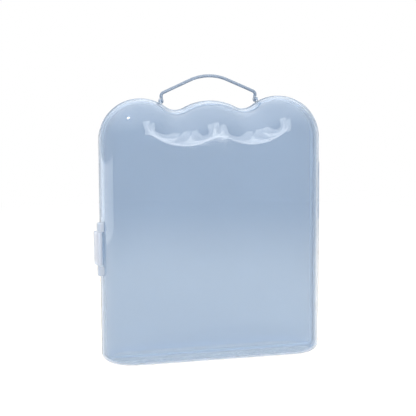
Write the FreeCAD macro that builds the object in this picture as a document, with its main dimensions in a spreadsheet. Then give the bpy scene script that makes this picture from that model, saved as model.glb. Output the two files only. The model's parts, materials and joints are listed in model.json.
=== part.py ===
import FreeCAD, Part
import math
import os
import re

import Sketcher
from FreeCAD import Vector

# Clear clamshell storage case with a wavy top, a bail handle, a barrel hinge and a side latch.
# Frame: +X to the hinge side, +Y to the back, +Z up. The origin is on the floor, at the middle of the seam.

# Driving dimensions, in millimetres: alias, value, meaning
SIZES = [
    ("case_width", 200.0, "left wall to right wall at the seam"),
    ("case_height", 232.0, "floor to the top of the outer lobes"),
    ("rear_depth", 31.6, "seam to the back face"),
    ("front_depth", 31.4, "rim of the lid to the front face"),
    ("wall", 2.0, "wall of both shells"),
    ("rim_land", 1.6, "straight part of a wall beside the seam"),
    ("seam_gap", 0.2, "gap between the two rims"),
    ("lobe_place", 63.2, "middles of the outer lobes from the middle of the case"),
    ("lobe_radius", 36.8, "inner flanks of the outer lobes"),
    ("valley_radius", 17.6, "valleys of the top edge"),
    ("valley_drop", 10.7, "valleys below the outer lobes"),
    ("crest_drop", 3.1, "middle crest below the outer lobes"),
    ("base_radius", 7.5, "rounding round the flat base"),
    ("root_sink", 1.2, "how far a moulded lug is rooted in its wall"),
    ("lip_height", 2.6, "lid's lip above the rear shell's rim"),
    ("lip_wall", 1.5, "thickness of the lid's lip"),
    ("lip_play", 0.2, "lip to the inside of the rear wall"),
    ("lip_root", 4.0, "depth of the lip's root in the lid"),
    ("hinge_middle", 102.0, "height of the hinge's middle"),
    ("hinge_length", 139.0, "all knuckles together"),
    ("hinge_rise", 1.0, "hinge axis outside the right wall"),
    ("hinge_leaf", 3.0, "knuckle's leaf along the wall"),
    ("knuckle_radius", 2.0, "hinge knuckles"),
    ("knuckle_play", 0.3, "knuckle to the other shell"),
    ("hinge_pin_radius", 0.85, "hinge pin"),
    ("pin_play", 0.05, "running fit of every pin"),
    ("pin_chamfer", 0.25, "ends of the long pins"),
    ("latch_middle", 102.0, "height of the latch's middle"),
    ("latch_length", 47.4, "latch over both knuckles"),
    ("latch_offset", 7.5, "latch axis in front of the seam"),
    ("latch_rise", 2.4, "latch axis outside the left wall"),
    ("latch_radius", 2.3, "latch knuckles and the flap's barrel"),
    ("latch_rounding", 1.5, "outer ends of the latch knuckles"),
    ("latch_pin_radius", 0.9, "latch pin"),
    ("tongue_length", 30.0, "height of the latch flap"),
    ("tongue_play", 0.3, "flap to the knuckles"),
    ("tongue_rise", 5.5, "flap's crown outside the left wall"),
    ("tongue_tail", 10.5, "flap's end behind the seam"),
    ("tongue_wall", 2.0, "thickness of the flap"),
    ("tongue_bow", 33.0, "radius of the flap's bowed outside"),
    ("tongue_corner", 8.5, "corners of the flap's end"),
    ("catch_offset", 4.7, "catch's top edge behind the seam"),
    ("catch_width", 1.8, "catch's top"),
    ("catch_ramp", 1.7, "lead-in slope in front of the catch's top"),
    ("catch_rise", 2.2, "catch outside the left wall"),
    ("catch_length", 22.0, "height of the catch"),
    ("hook_bite", 1.0, "how far the hook reaches behind the catch"),
    ("hook_play", 0.2, "hook behind the catch"),
    ("hook_width", 2.0, "thickness of the hook"),
    ("handle_offset", 4.0, "handle behind the seam"),
    ("leg_inset", 20.0, "legs' centre lines inside the middles of the outer lobes"),
    ("handle_rod", 2.8, "diameter of the handle's rod"),
    ("handle_rise", 21.4, "crown of the centre line above the pivots"),
    ("handle_crown", 17.2, "half width of the crown's arc"),
    ("handle_bend", 3.5, "radius of the bend above each leg"),
    ("handle_leg", 1.5, "straight part of each leg"),
    ("pivot_rise", 2.8, "pivot above the shell under the ear"),
    ("foot_width", 4.4, "diameter of the handle's eyes and of the ears"),
    ("foot_wall", 1.6, "thickness of the handle's eyes"),
    ("foot_neck", 2.4, "width of the neck between eye and rod"),
    ("foot_overlap", 1.0, "neck inside the rod"),
    ("leg_play", 0.5, "rod above the ear"),
    ("ear_play", 0.2, "eye to the ear"),
    ("ear_wall", 1.6, "thickness of the ears"),
    ("rivet_radius", 0.75, "shank of the rivets"),
    ("rivet_head_radius", 1.3, "heads of the rivets"),
    ("rivet_head", 0.5, "thickness of a rivet head"),
    ("rivet_play", 0.1, "rivet head to the eye"),
]
KNUCKLES = 5

# Places that several pieces share, as expressions of the sizes
SHOULDER = "(case_width / 2 - lobe_place)"
SHOULDER_Z = f"(case_height - {SHOULDER})"
LOBE_Z = "(case_height - lobe_radius)"
BOTH_RADII = "(lobe_radius + valley_radius)"
VALLEY_X = f"(lobe_place - sqrt({BOTH_RADII}^2 - ({BOTH_RADII} - valley_drop)^2))"
VALLEY_Z = "(case_height - valley_drop + valley_radius)"
CREST_TOP = "(case_height - crest_drop)"
CREST_RADIUS = f"(({VALLEY_X}^2 + (valley_radius - valley_drop + crest_drop)^2 - valley_radius^2)"
CREST_RADIUS += " / (2 * (valley_drop - crest_drop)))"
HINGE_X = "(case_width / 2 + hinge_rise)"
HINGE_Y = "(-seam_gap / 2)"
HINGE_FOOT = "(hinge_middle - hinge_length / 2)"
PITCH = f"(hinge_length / {KNUCKLES})"
LATCH_X = "(-case_width / 2 - latch_rise)"
LATCH_Y = "(-latch_offset)"
LATCH_FOOT = "(latch_middle - latch_length / 2)"
LATCH_KNUCKLE = "((latch_length - tongue_length) / 2)"
CATCH_END = "(catch_offset + catch_width)"
LEG_X = "(lobe_place - leg_inset)"
FOOT_INNER = f"({LEG_X} - handle_rod / 2)"
EAR_INNER = f"({FOOT_INNER} + foot_wall + ear_play)"
EAR_OUTER = f"({EAR_INNER} + ear_wall)"


def flank(x):
    """Height of an outer lobe's inner flank at a distance x from the middle."""
    return f"({LOBE_Z} + sqrt(lobe_radius^2 - (lobe_place - {x})^2))"


def crown(depth):
    """Big rounding of a shell, limited by the wall beside the seam and by the bulges of the top edge."""
    return f"min({depth} - rim_land; {SHOULDER} - wall; lobe_radius - wall; {CREST_RADIUS} - wall)"


def fall(depth, place):
    """How far the side wall has fallen back at a place, measured from the rim."""
    rounded = f"max(0; {place} - {depth} + {crown(depth)})"
    return f"({crown(depth)} - sqrt({crown(depth)}^2 - {rounded}^2))"


PIVOT_Z = f"({flank(EAR_INNER)} + pivot_rise)"
LEG_START = f"({PIVOT_Z} + foot_width / 2 + leg_play)"

doc = FreeCAD.newDocument("StorageCase")
sheet = doc.addObject("Spreadsheet::Sheet", "Sizes")
for row, (alias, size, meaning) in enumerate(SIZES, start=1):
    sheet.set(f"A{row}", meaning)
    sheet.set(f"B{row}", str(size))
    sheet.setAlias(f"B{row}", alias)
doc.recompute()
ALIASES = {alias for alias, size, meaning in SIZES}


def bound(text):
    """The expression with each alias led back to the sheet."""
    return re.sub(r"[a-z_]+", lambda word: f"Sizes.{word[0]}" if word[0] in ALIASES else word[0], text)


def value(text):
    """The expression's present value."""
    return float(sheet.evalExpression(bound(text)))


# Sketch helpers
def origin_feature(body, role):
    return next(feature for feature in body.Origin.OriginFeatures if feature.Role == role)


def add_sketch(body, name, role, origin=("0", "0", "0")):
    """Sketch on one of the body's planes, its origin moved along the plane's own axes."""
    sketch = body.newObject("Sketcher::SketchObject", name)
    sketch.AttachmentSupport = [(origin_feature(body, role), "")]
    sketch.MapMode = "FlatFace"
    for axis, text in zip("xyz", origin):
        sketch.setExpression(f"AttachmentOffset.Base.{axis}", bound(text))
    return sketch


def relate(sketch, kind, *where):
    sketch.addConstraint(Sketcher.Constraint(kind, *where))


def dimension(sketch, kind, where, text):
    index = sketch.addConstraint(Sketcher.Constraint(kind, *where, value(text)))
    sketch.setExpression(f"Constraints[{index}]", bound(text))


def line(sketch, start, end):
    return sketch.addGeometry(Part.LineSegment(start, end))


def arc(sketch, centre, start, end):
    """Arc from start to end, anticlockwise about its centre."""
    circle = Part.Circle(centre, Vector(0, 0, 1), start.distanceToPoint(centre))
    first = math.atan2(start.y - centre.y, start.x - centre.x)
    last = math.atan2(end.y - centre.y, end.x - centre.x)
    if last <= first:
        last += 2 * math.pi
    return sketch.addGeometry(Part.ArcOfCircle(circle, first, last))


def circle(sketch, radius):
    """Circle about the sketch's origin."""
    ring = sketch.addGeometry(Part.Circle(Vector(0, 0, 0), Vector(0, 0, 1), value(radius)))
    relate(sketch, "Coincident", ring, 3, -1, 1)
    dimension(sketch, "Radius", (ring,), radius)


def polygon(sketch, corners):
    """Closed polygon, each corner placed by two expressions."""
    points = [Vector(value(x), value(y), 0) for x, y in corners]
    sides = [line(sketch, start, end) for start, end in zip(points, points[1:] + points[:1])]
    for side, following in zip(sides, sides[1:] + sides[:1]):
        relate(sketch, "Coincident", side, 2, following, 1)
    for side, (x, y) in zip(sides, corners):
        dimension(sketch, "DistanceX", (-1, 1, side, 1), x)
        dimension(sketch, "DistanceY", (-1, 1, side, 1), y)


# Feature helpers
def add_feature(body, kind, name, **settings):
    feature = body.newObject(f"PartDesign::{kind}", name)
    for setting, choice in settings.items():
        setattr(feature, setting, choice)
    return feature


def pad(body, name, sketch, length, **settings):
    feature = add_feature(body, "Pad", name, Profile=sketch, **settings)
    feature.setExpression("Length", bound(length))
    doc.recompute()
    return feature


def pocket(body, name, sketch, length, Reversed=True):
    """Cut along the sketch's normal, or against it; the volume has to drop."""
    before = body.Shape.Volume
    feature = add_feature(body, "Pocket", name, Profile=sketch, Reversed=Reversed)
    feature.setExpression("Length", bound(length))
    doc.recompute()
    if feature.Shape.Volume >= before:
        raise RuntimeError(f"{name} cuts nothing")
    return feature


def mirror(body, name, originals):
    plane = (origin_feature(body, "YZ_Plane"), [""])
    feature = add_feature(body, "Mirrored", name, Originals=originals, MirrorPlane=plane)
    body.Tip = feature
    doc.recompute()
    return feature


def stack(body, name, originals, count, spacing):
    """Copies upward along Z."""
    axis = (origin_feature(body, "Z_Axis"), [""])
    feature = add_feature(body, "LinearPattern", name, Originals=originals, Direction=axis, Occurrences=count)
    feature.setExpression("Length", bound(f"{count - 1} * {spacing}"))
    body.Tip = feature
    doc.recompute()
    return feature


def round_edges(body, name, base, wanted, radius):
    edges = [f"Edge{i}" for i, edge in enumerate(base.Shape.Edges, start=1) if wanted(edge)]
    feature = add_feature(body, "Fillet", name, Base=(base, edges))
    feature.setExpression("Radius", bound(radius))
    doc.recompute()
    return feature


def lies_at(edge, axis, place):
    """True where the whole edge lies in the plane at that place on the axis."""
    return all(abs(getattr(vertex.Point, axis) - place) < 1e-4 for vertex in edge.Vertexes) and (
        abs(getattr(edge.valueAt((edge.FirstParameter + edge.LastParameter) / 2), axis) - place) < 1e-4
    )


# Shells
def open_half(sketch, inset, rounded):
    """Right half of the case's outline, inset from the outer one, from the bottom's middle to the crest's."""
    half = f"(case_width / 2 - {inset})"
    top = f"({CREST_TOP} - {inset})"
    corner = f"(base_radius - {inset})"

    # Every inset keeps the centres of the arcs
    shoulder = Vector(value("lobe_place"), value(SHOULDER_Z), 0)
    lobe = Vector(value("lobe_place"), value(LOBE_Z), 0)
    valley = Vector(value(VALLEY_X), value(VALLEY_Z), 0)
    crest = Vector(0, value(f"{CREST_TOP} - {CREST_RADIUS}"), 0)
    lobe_end = lobe + (valley - lobe).normalize() * value(f"lobe_radius - {inset}")
    crest_end = crest + (valley - crest).normalize() * value(f"{CREST_RADIUS} - {inset}")
    lobe_top = Vector(lobe.x, value(f"case_height - {inset}"), 0)

    foot = Vector(0, value(inset), 0)
    side_top = Vector(value(half), shoulder.y, 0)
    bottom_end = Vector(value(half), foot.y, 0)
    side_foot = bottom_end
    if rounded:
        bottom_end = bottom_end - Vector(value(corner), 0, 0)
        side_foot = side_foot + Vector(0, value(corner), 0)
    crest_point = Vector(0, value(top), 0)

    bottom = line(sketch, foot, bottom_end)
    side = line(sketch, side_foot, side_top)
    shoulder_arc = arc(sketch, shoulder, side_top, lobe_top)
    lobe_arc = arc(sketch, lobe, lobe_top, lobe_end)
    valley_arc = arc(sketch, valley, crest_end, lobe_end)
    crest_arc = arc(sketch, crest, crest_end, crest_point)

    if rounded:
        corner_arc = arc(sketch, Vector(bottom_end.x, side_foot.y, 0), bottom_end, side_foot)
        relate(sketch, "Tangent", bottom, 2, corner_arc, 1)
        relate(sketch, "Tangent", corner_arc, 2, side, 1)
        dimension(sketch, "Radius", (corner_arc,), corner)
    else:
        relate(sketch, "Coincident", bottom, 2, side, 1)
    if inset == "0":
        relate(sketch, "Coincident", bottom, 1, -1, 1)
    else:
        relate(sketch, "PointOnObject", bottom, 1, -2)
        dimension(sketch, "DistanceY", (-1, 1, bottom, 1), inset)
    relate(sketch, "Horizontal", bottom)
    relate(sketch, "Vertical", side)
    relate(sketch, "Tangent", side, 2, shoulder_arc, 1)
    relate(sketch, "Coincident", shoulder_arc, 2, lobe_arc, 1)
    relate(sketch, "Tangent", lobe_arc, 2, valley_arc, 2)
    relate(sketch, "Tangent", valley_arc, 1, crest_arc, 1)
    relate(sketch, "PointOnObject", crest_arc, 2, -2)
    relate(sketch, "PointOnObject", crest_arc, 3, -2)
    dimension(sketch, "DistanceX", (-1, 1, side, 1), half)
    dimension(sketch, "Radius", (shoulder_arc,), f"{SHOULDER} - {inset}")
    dimension(sketch, "DistanceY", (-1, 1, shoulder_arc, 3), SHOULDER_Z)
    dimension(sketch, "DistanceX", (-1, 1, shoulder_arc, 2), "lobe_place")
    dimension(sketch, "Radius", (lobe_arc,), f"lobe_radius - {inset}")
    dimension(sketch, "DistanceX", (-1, 1, lobe_arc, 3), "lobe_place")
    dimension(sketch, "Radius", (valley_arc,), f"valley_radius + {inset}")
    dimension(sketch, "DistanceY", (-1, 1, valley_arc, 3), VALLEY_Z)
    dimension(sketch, "DistanceY", (-1, 1, crest_arc, 2), top)
    return (bottom, foot), (crest_arc, crest_point)


def half_plate(sketch, inset):
    """Half outline with sharp bottom corners, closed along the middle."""
    (bottom, foot), (crest, crest_point) = open_half(sketch, inset, rounded=False)
    middle = line(sketch, crest_point, foot)
    relate(sketch, "Coincident", crest, 2, middle, 1)
    relate(sketch, "Coincident", middle, 2, bottom, 1)


def half_ring(sketch, outer_inset, inner_inset):
    """Half of the band between two insets, with rounded bottom corners."""
    (outer_bottom, outer_foot), (outer_crest, outer_top) = open_half(sketch, outer_inset, rounded=True)
    (inner_bottom, inner_foot), (inner_crest, inner_top) = open_half(sketch, inner_inset, rounded=True)
    low = line(sketch, outer_foot, inner_foot)
    high = line(sketch, outer_top, inner_top)
    relate(sketch, "Coincident", low, 1, outer_bottom, 1)
    relate(sketch, "Coincident", low, 2, inner_bottom, 1)
    relate(sketch, "Coincident", high, 1, outer_crest, 2)
    relate(sketch, "Coincident", high, 2, inner_crest, 2)


def moulded_shell(body, rim, depth, backward):
    """Pillow-shaped tray that opens at its rim, at the place rim along -Y."""
    outline = add_sketch(body, "Outline", "XZ_Plane", ("0", "0", rim))
    half_plate(outline, "0")
    half = pad(body, "Half", outline, depth, Reversed=backward)
    inside = add_sketch(body, "Inside", "XZ_Plane", ("0", "0", rim))
    half_plate(inside, "wall")
    half_inside = pocket(body, "HalfInside", inside, f"{depth} - wall", Reversed=not backward)
    tray = mirror(body, "Tray", [half, half_inside])

    rim_y = -value(rim)
    way = 1 if backward else -1
    face_y = rim_y + way * value(depth)
    floor_y = face_y - way * value("wall")
    surfaces = [
        ("Inner", floor_y, value("wall"), f"{crown(depth)} - wall", "base_radius - wall"),
        ("Outer", face_y, 0, crown(depth), "base_radius"),
    ]
    for name, front_y, base_z, crown_rounding, base_rounding in surfaces:
        tray = round_edges(
            body,
            f"{name}Crown",
            tray,
            lambda edge: lies_at(edge, "y", front_y) and not lies_at(edge, "z", base_z),
            crown_rounding,
        )
        tray = round_edges(
            body,
            f"{name}Base",
            tray,
            lambda edge: lies_at(edge, "z", base_z) and not lies_at(edge, "y", rim_y),
            base_rounding,
        )


def knuckle_profile(sketch, backward):
    """Round knuckle with a leaf that runs along its own shell's wall."""
    way = 1 if backward else -1
    radius = value("knuckle_radius")
    leaf = Vector(-value("hinge_rise + root_sink"), way * value("hinge_leaf"), 0)
    turn = math.atan2(leaf.y, leaf.x) - way * math.acos(radius / leaf.Length)
    touch = Vector(radius * math.cos(turn), radius * math.sin(turn), 0)
    inner = Vector(-radius, 0, 0)
    centre = Vector(0, 0, 0)

    barrel = arc(sketch, centre, inner, touch) if backward else arc(sketch, centre, touch, inner)
    barrel_touch, barrel_inner = (2, 1) if backward else (1, 2)
    inside = line(sketch, inner, leaf)
    outside = line(sketch, leaf, touch)
    relate(sketch, "Coincident", barrel, 3, -1, 1)
    relate(sketch, "Coincident", barrel, barrel_inner, inside, 1)
    relate(sketch, "PointOnObject", inside, 1, -1)
    relate(sketch, "Coincident", inside, 2, outside, 1)
    relate(sketch, "Tangent", outside, 2, barrel, barrel_touch)
    dimension(sketch, "Radius", (barrel,), "knuckle_radius")
    dimension(sketch, "DistanceX", (-1, 1, outside, 1), "-(hinge_rise + root_sink)")
    dimension(sketch, "DistanceY", (-1, 1, outside, 1), f"{way} * hinge_leaf")


def hinge_half(body, own_first, own_count, backward):
    """One shell's knuckles, the clearance for the other shell's, and the bore."""
    other_first = 1 - own_first
    other_count = KNUCKLES - own_count
    relief_foot = f"({HINGE_FOOT} + {other_first} * {PITCH} - knuckle_play / 2)"
    relief = add_sketch(body, "Relief", "XY_Plane", (HINGE_X, HINGE_Y, relief_foot))
    circle(relief, "knuckle_radius + knuckle_play")
    cut = pocket(body, "ReliefCut", relief, f"{PITCH} + knuckle_play")
    stack(body, "ReliefCuts", [cut], other_count, f"2 * {PITCH}")

    knuckle_foot = f"({HINGE_FOOT} + {own_first} * {PITCH} + knuckle_play / 2)"
    knuckle = add_sketch(body, "Knuckle", "XY_Plane", (HINGE_X, HINGE_Y, knuckle_foot))
    knuckle_profile(knuckle, backward)
    barrel = pad(body, "KnuckleBarrel", knuckle, f"{PITCH} - knuckle_play")
    stack(body, "KnuckleBarrels", [barrel], own_count, f"2 * {PITCH}")

    bore = add_sketch(body, "Bore", "XY_Plane", (HINGE_X, HINGE_Y, HINGE_FOOT))
    circle(bore, "hinge_pin_radius + pin_play")
    pocket(body, "BoreCut", bore, "hinge_length")


def tombstone(sketch, radius, reach):
    """Half round about the sketch's origin, with straight sides that reach along +X."""
    upper = Vector(0, value(radius), 0)
    lower = Vector(0, -value(radius), 0)
    along = Vector(value(reach), 0, 0)
    head = arc(sketch, Vector(0, 0, 0), upper, lower)
    lower_side = line(sketch, lower, lower + along)
    root = line(sketch, lower + along, upper + along)
    upper_side = line(sketch, upper + along, upper)
    relate(sketch, "Coincident", head, 3, -1, 1)
    relate(sketch, "Tangent", head, 2, lower_side, 1)
    relate(sketch, "Coincident", lower_side, 2, root, 1)
    relate(sketch, "Coincident", root, 2, upper_side, 1)
    relate(sketch, "Tangent", upper_side, 2, head, 1)
    relate(sketch, "Horizontal", lower_side)
    relate(sketch, "Vertical", root)
    dimension(sketch, "Radius", (head,), radius)
    dimension(sketch, "DistanceX", (-1, 1, root, 1), reach)


def make_rear_shell():
    body = doc.addObject("PartDesign::Body", "RearShell")
    body.Label = "rear_shell"
    moulded_shell(body, "0", "rear_depth", True)
    hinge_half(body, 0, (KNUCKLES + 1) // 2, True)

    # Catch for the latch, with a lead-in slope
    catch = add_sketch(body, "Catch", "XY_Plane", ("0", "0", "latch_middle - catch_length / 2"))
    rooted = "-(case_width / 2 - root_sink)"
    raised = "-(case_width / 2 + catch_rise)"
    polygon(
        catch,
        [
            (rooted, "catch_offset - catch_ramp"),
            (rooted, CATCH_END),
            (raised, CATCH_END),
            (raised, "catch_offset"),
        ],
    )
    pad(body, "CatchRidge", catch, "catch_length")

    # Two ears for the handle, on the inner flanks of the outer lobes
    ear = add_sketch(body, "Ear", "YZ_Plane", ("handle_offset", PIVOT_Z, EAR_INNER))
    ear_foot = f"({flank(EAR_INNER)} - root_sink - {PIVOT_Z})"
    ear_profile(ear, ear_foot)
    lug = pad(body, "EarLug", ear, "ear_wall")
    hole = add_sketch(body, "EarHole", "YZ_Plane", ("handle_offset", PIVOT_Z, EAR_INNER))
    circle(hole, "rivet_radius + pin_play")
    bore = pocket(body, "EarBore", hole, "ear_wall")
    mirror(body, "Ears", [lug, bore])
    return body


def ear_profile(sketch, foot):
    """Upright ear, round at the top, that reaches down to its root."""
    left = Vector(-value("foot_width / 2"), 0, 0)
    right = Vector(value("foot_width / 2"), 0, 0)
    down = Vector(0, value(foot), 0)
    head = arc(sketch, Vector(0, 0, 0), right, left)
    left_side = line(sketch, left, left + down)
    root = line(sketch, left + down, right + down)
    right_side = line(sketch, right + down, right)
    relate(sketch, "Coincident", head, 3, -1, 1)
    relate(sketch, "Tangent", head, 2, left_side, 1)
    relate(sketch, "Coincident", left_side, 2, root, 1)
    relate(sketch, "Coincident", root, 2, right_side, 1)
    relate(sketch, "Tangent", right_side, 2, head, 1)
    relate(sketch, "Vertical", left_side)
    relate(sketch, "Horizontal", root)
    dimension(sketch, "Radius", (head,), "foot_width / 2")
    dimension(sketch, "DistanceY", (-1, 1, root, 1), foot)


def make_front_shell():
    body = doc.addObject("PartDesign::Body", "FrontShell")
    body.Label = "front_shell"
    moulded_shell(body, "seam_gap", "front_depth", False)

    # Lip that nests inside the rear shell, on a root inside the lid's own wall
    lip_outer = "(wall + lip_play)"
    lip_inner = "(wall + lip_play + lip_wall)"
    root = add_sketch(body, "LipRoot", "XZ_Plane", ("0", "0", "seam_gap + lip_root"))
    half_ring(root, "root_sink", lip_inner)
    root_half = pad(body, "LipRootBand", root, "lip_root", Reversed=True)
    lip = add_sketch(body, "Lip", "XZ_Plane", ("0", "0", "seam_gap"))
    half_ring(lip, lip_outer, lip_inner)
    lip_half = pad(body, "LipBand", lip, "seam_gap + lip_height", Reversed=True)
    mirror(body, "LipRing", [root_half, lip_half])

    hinge_half(body, 1, (KNUCKLES - 1) // 2, False)

    # Two knuckles for the latch, each with a rounded outer end and a root that reaches the falling wall
    latch_root = f"({fall('front_depth', 'latch_offset + latch_radius - seam_gap')} + root_sink / 2)"
    lower = add_sketch(body, "LatchKnuckle", "XY_Plane", (LATCH_X, LATCH_Y, LATCH_FOOT))
    tombstone(lower, "latch_radius", f"latch_rise + {latch_root}")
    length = f"{LATCH_KNUCKLE} - tongue_play"
    lower_barrel = pad(body, "LatchBarrel", lower, length)
    spacing = f"({LATCH_KNUCKLE} + tongue_length + tongue_play)"
    barrels = stack(body, "LatchBarrels", [lower_barrel], 2, spacing)
    ends = (value(LATCH_FOOT), value(f"{LATCH_FOOT} + latch_length"))
    free = -value("case_width / 2 + latch_rise / 2")
    round_edges(
        body,
        "LatchEnds",
        barrels,
        lambda edge: any(lies_at(edge, "z", end) for end in ends) and edge.BoundBox.XMin < free,
        "latch_rounding",
    )
    bore = add_sketch(body, "LatchBore", "XY_Plane", (LATCH_X, LATCH_Y, LATCH_FOOT))
    circle(bore, "latch_pin_radius + pin_play")
    pocket(body, "LatchBoreCut", bore, "latch_length")
    return body


# Handle
def slope_angle(run, rise, half, bend_radius):
    """Slope between bend and crown that makes up the rise, found by halving the interval."""
    low, high = 0.0, math.pi / 2
    while high - low > 1e-12:
        angle = (low + high) / 2
        bend_part = bend_radius * math.tan((math.pi / 2 - angle) / 2)
        reached = bend_part + (run - half) * math.tan(angle) + half * math.tan(angle / 2)
        low, high = (angle, high) if reached < rise else (low, angle)
    return low


def handle_path(sketch):
    """Right half of the centre line: leg, bend, slope and crown."""
    leg_x = value(LEG_X)
    top = value(f"{PIVOT_Z} + handle_rise")
    half = value("handle_crown")
    bend_radius = value("handle_bend")
    bend_start = Vector(leg_x, value(f"{LEG_START} + handle_leg"), 0)
    slope_turn = slope_angle(leg_x, top - bend_start.y, half, bend_radius)

    tangent = bend_radius * math.tan((math.pi / 2 - slope_turn) / 2)
    slope_way = Vector(-math.cos(slope_turn), math.sin(slope_turn), 0)
    bend_end = bend_start + Vector(0, tangent, 0) + slope_way * tangent
    bend_centre = bend_start - Vector(bend_radius, 0, 0)
    crown_radius = half / math.sin(slope_turn)
    crown_centre = Vector(0, top - crown_radius, 0)
    crown_start = crown_centre + Vector(half, crown_radius * math.cos(slope_turn), 0)

    leg = line(sketch, Vector(leg_x, value(LEG_START), 0), bend_start)
    bend = arc(sketch, bend_centre, bend_start, bend_end)
    slope = line(sketch, bend_end, crown_start)
    crown = arc(sketch, crown_centre, crown_start, Vector(0, top, 0))
    relate(sketch, "Vertical", leg)
    relate(sketch, "Tangent", leg, 2, bend, 1)
    relate(sketch, "Tangent", bend, 2, slope, 1)
    relate(sketch, "Tangent", slope, 2, crown, 1)
    relate(sketch, "PointOnObject", crown, 2, -2)
    relate(sketch, "PointOnObject", crown, 3, -2)
    dimension(sketch, "DistanceX", (-1, 1, leg, 1), LEG_X)
    dimension(sketch, "DistanceY", (-1, 1, leg, 1), LEG_START)
    dimension(sketch, "Radius", (bend,), "handle_bend")
    dimension(sketch, "DistanceY", (-1, 1, bend, 1), f"{LEG_START} + handle_leg")
    dimension(sketch, "DistanceX", (-1, 1, crown, 1), "handle_crown")
    dimension(sketch, "DistanceY", (-1, 1, crown, 2), f"{PIVOT_Z} + handle_rise")


def make_handle():
    body = doc.addObject("PartDesign::Body", "Handle")
    body.Label = "handle"
    path = add_sketch(body, "Path", "XZ_Plane", ("0", "0", "-handle_offset"))
    handle_path(path)
    section = add_sketch(body, "Section", "XY_Plane", (LEG_X, "handle_offset", LEG_START))
    circle(section, "handle_rod / 2")
    rod = add_feature(body, "AdditivePipe", "Rod", Profile=section, Spine=path)
    doc.recompute()

    neck = add_sketch(body, "Neck", "YZ_Plane", ("handle_offset", PIVOT_Z, FOOT_INNER))
    neck_top = "(foot_width / 2 + leg_play + foot_overlap)"
    below = "-(foot_width / 2 - rivet_head_radius)"
    polygon(
        neck,
        [
            ("-foot_neck / 2", below),
            ("foot_neck / 2", below),
            ("foot_neck / 2", neck_top),
            ("-foot_neck / 2", neck_top),
        ],
    )
    neck_pad = pad(body, "NeckPlate", neck, "foot_wall")
    eye = add_sketch(body, "Eye", "YZ_Plane", ("handle_offset", PIVOT_Z, FOOT_INNER))
    circle(eye, "foot_width / 2")
    eye_pad = pad(body, "EyePlate", eye, "foot_wall")
    hole = add_sketch(body, "EyeHole", "YZ_Plane", ("handle_offset", PIVOT_Z, FOOT_INNER))
    circle(hole, "rivet_radius + pin_play")
    hole_cut = pocket(body, "EyeBore", hole, "foot_wall")
    mirror(body, "BothHalves", [rod, neck_pad, eye_pad, hole_cut])
    return body


def make_rivet(label, side):
    """Rivet along X through an ear and the handle's eye, with a flat head at each end."""
    body = doc.addObject("PartDesign::Body", "".join(word.title() for word in label.split("_")))
    body.Label = label
    inner_head = f"({FOOT_INNER} - rivet_play - rivet_head)"
    steps = [
        ("InnerHead", inner_head, "rivet_head_radius", "rivet_head"),
        ("Shank", inner_head, "rivet_radius", f"{EAR_OUTER} - {inner_head}"),
        ("OuterHead", EAR_OUTER, "rivet_head_radius", "rivet_head"),
    ]
    for name, start, radius, length in steps:
        place = ("handle_offset", PIVOT_Z, f"{side} * {start}")
        sketch = add_sketch(body, f"{name}Circle", "YZ_Plane", place)
        circle(sketch, radius)
        pad(body, name, sketch, length, Reversed=side < 0)
    return body


# Pins and latch
def make_pin(label, place, radius, length):
    """Upright round pin with chamfered ends."""
    body = doc.addObject("PartDesign::Body", "".join(word.title() for word in label.split("_")))
    body.Label = label
    sketch = add_sketch(body, "Section", "XY_Plane", place)
    circle(sketch, radius)
    shank = pad(body, "Shank", sketch, length)
    rims = [f"Edge{i}" for i, edge in enumerate(shank.Shape.Edges, start=1) if edge.Closed]
    chamfer = add_feature(body, "Chamfer", "Ends", Base=(shank, rims))
    chamfer.setExpression("Size", bound("pin_chamfer"))
    doc.recompute()
    return body


def bowed_plate(sketch, low, high):
    """Strip between two arcs about the sketch's origin, cut off at two heights."""
    def on_arc(radius, height):
        return Vector(-math.sqrt(value(radius) ** 2 - value(height) ** 2), value(height), 0)

    inner_radius = "(tongue_bow - tongue_wall)"
    centre = Vector(0, 0, 0)
    outer = arc(sketch, centre, on_arc("tongue_bow", high), on_arc("tongue_bow", low))
    inner = arc(sketch, centre, on_arc(inner_radius, high), on_arc(inner_radius, low))
    front = line(sketch, on_arc("tongue_bow", low), on_arc(inner_radius, low))
    back = line(sketch, on_arc(inner_radius, high), on_arc("tongue_bow", high))
    for bow, radius in ((outer, "tongue_bow"), (inner, inner_radius)):
        relate(sketch, "Coincident", bow, 3, -1, 1)
        dimension(sketch, "Radius", (bow,), radius)
    relate(sketch, "Coincident", outer, 2, front, 1)
    relate(sketch, "Coincident", front, 2, inner, 2)
    relate(sketch, "Coincident", inner, 1, back, 1)
    relate(sketch, "Coincident", back, 2, outer, 1)
    relate(sketch, "Horizontal", front)
    relate(sketch, "Horizontal", back)
    dimension(sketch, "DistanceY", (-1, 1, front, 1), low)
    dimension(sketch, "DistanceY", (-1, 1, back, 1), high)


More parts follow.
